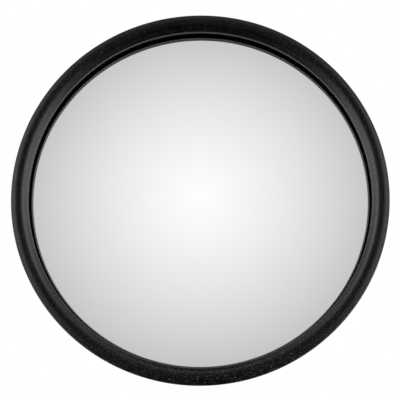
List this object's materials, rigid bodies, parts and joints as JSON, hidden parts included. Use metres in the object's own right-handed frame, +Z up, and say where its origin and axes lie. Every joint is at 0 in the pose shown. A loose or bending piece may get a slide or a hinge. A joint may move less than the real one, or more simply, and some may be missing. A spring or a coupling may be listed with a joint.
{
  "type": "convex security mirror",
  "caption": "Round convex wall mirror in a thick rubber rim, with a moulded back cover, on a swivel arm that pans and tilts and locks with wing nuts.",
  "frame": {"origin": "centre of the wall plate's flat back face, which rests on the wall", "axes": "+Y into the wall, -Y the way the mirror faces, +Z up along the pan axis, X along the tilt axis"},
  "size_m": [0.3, 0.1914, 0.3],
  "materials": {
    "mirror_face": "polished, metallised acrylic",
    "rim_rubber": "satin moulded rubber",
    "foam": "matt closed-cell foam",
    "black_abs": "fine moulded texture",
    "powder_coat": "black powder coat on steel",
    "zinc_plate": "bright zinc plate",
    "nylon": "natural nylon"
  },
  "bodies": {
    "wall_mount": {"wall_bracket": "powder_coat", "pan_bolt": "zinc_plate", "pan_head_washer": "zinc_plate", "pan_nut_washer": "zinc_plate"},
    "arm": {"swivel_arm": "powder_coat", "pan_bush_top": "nylon", "pan_bush_bottom": "nylon", "tilt_bush_left": "nylon", "tilt_bush_right": "nylon"},
    "mirror_head": {"rim": "rim_rubber", "mirror_dome": "mirror_face", "seal_ring": "foam", "back_cover": "black_abs", "stiffener_plate": "zinc_plate", "tilt_yoke": "powder_coat", "tilt_bolt": "zinc_plate", "tilt_head_washer": "zinc_plate", "tilt_nut_washer": "zinc_plate", "yoke_screw_1": "zinc_plate", "yoke_lock_washer_1": "zinc_plate", "plate_nut_1": "zinc_plate", "yoke_screw_2": "zinc_plate", "yoke_lock_washer_2": "zinc_plate", "plate_nut_2": "zinc_plate", "yoke_screw_3": "zinc_plate", "yoke_lock_washer_3": "zinc_plate", "plate_nut_3": "zinc_plate", "yoke_screw_4": "zinc_plate", "yoke_lock_washer_4": "zinc_plate", "plate_nut_4": "zinc_plate"},
    "pan_lock": {"pan_lock_washer": "zinc_plate"},
    "pan_nut": {"pan_wing_nut": "zinc_plate"},
    "tilt_lock": {"tilt_lock_washer": "zinc_plate"},
    "tilt_nut": {"tilt_wing_nut": "zinc_plate"}
  },
  "joints": [
    {"name": "pan", "type": "hinge", "parent": "wall_mount", "child": "arm", "pos_m": [0, -0.03, 0], "axis": [0, 0, 1], "range_deg": [-40, 40]},
    {"name": "tilt", "type": "hinge", "parent": "arm", "child": "mirror_head", "pos_m": [0, -0.125, 0], "axis": [1, 0, 0], "range_deg": [-40, 40]},
    {"name": "pan_lock_travel", "type": "slide", "parent": "wall_mount", "child": "pan_lock", "axis": [0, 0, -1], "range_m": [0, 0.0013]},
    {"name": "pan_nut_turn", "type": "hinge", "parent": "pan_lock", "child": "pan_nut", "pos_m": [0, -0.03, -0.03], "axis": [0, 0, -1], "range_deg": [0, 360]},
    {"name": "tilt_lock_travel", "type": "slide", "parent": "mirror_head", "child": "tilt_lock", "axis": [1, 0, 0], "range_m": [0, 0.0013]},
    {"name": "tilt_nut_turn", "type": "hinge", "parent": "tilt_lock", "child": "tilt_nut", "pos_m": [0.03, -0.125, 0], "axis": [1, 0, 0], "range_deg": [0, 360]}
  ],
  "couplings": [
    {"joint": "pan_lock_travel", "follows": "pan_nut_turn", "m_per_rad": 0.00019894},
    {"joint": "tilt_lock_travel", "follows": "tilt_nut_turn", "m_per_rad": 0.00019894}
  ]
}
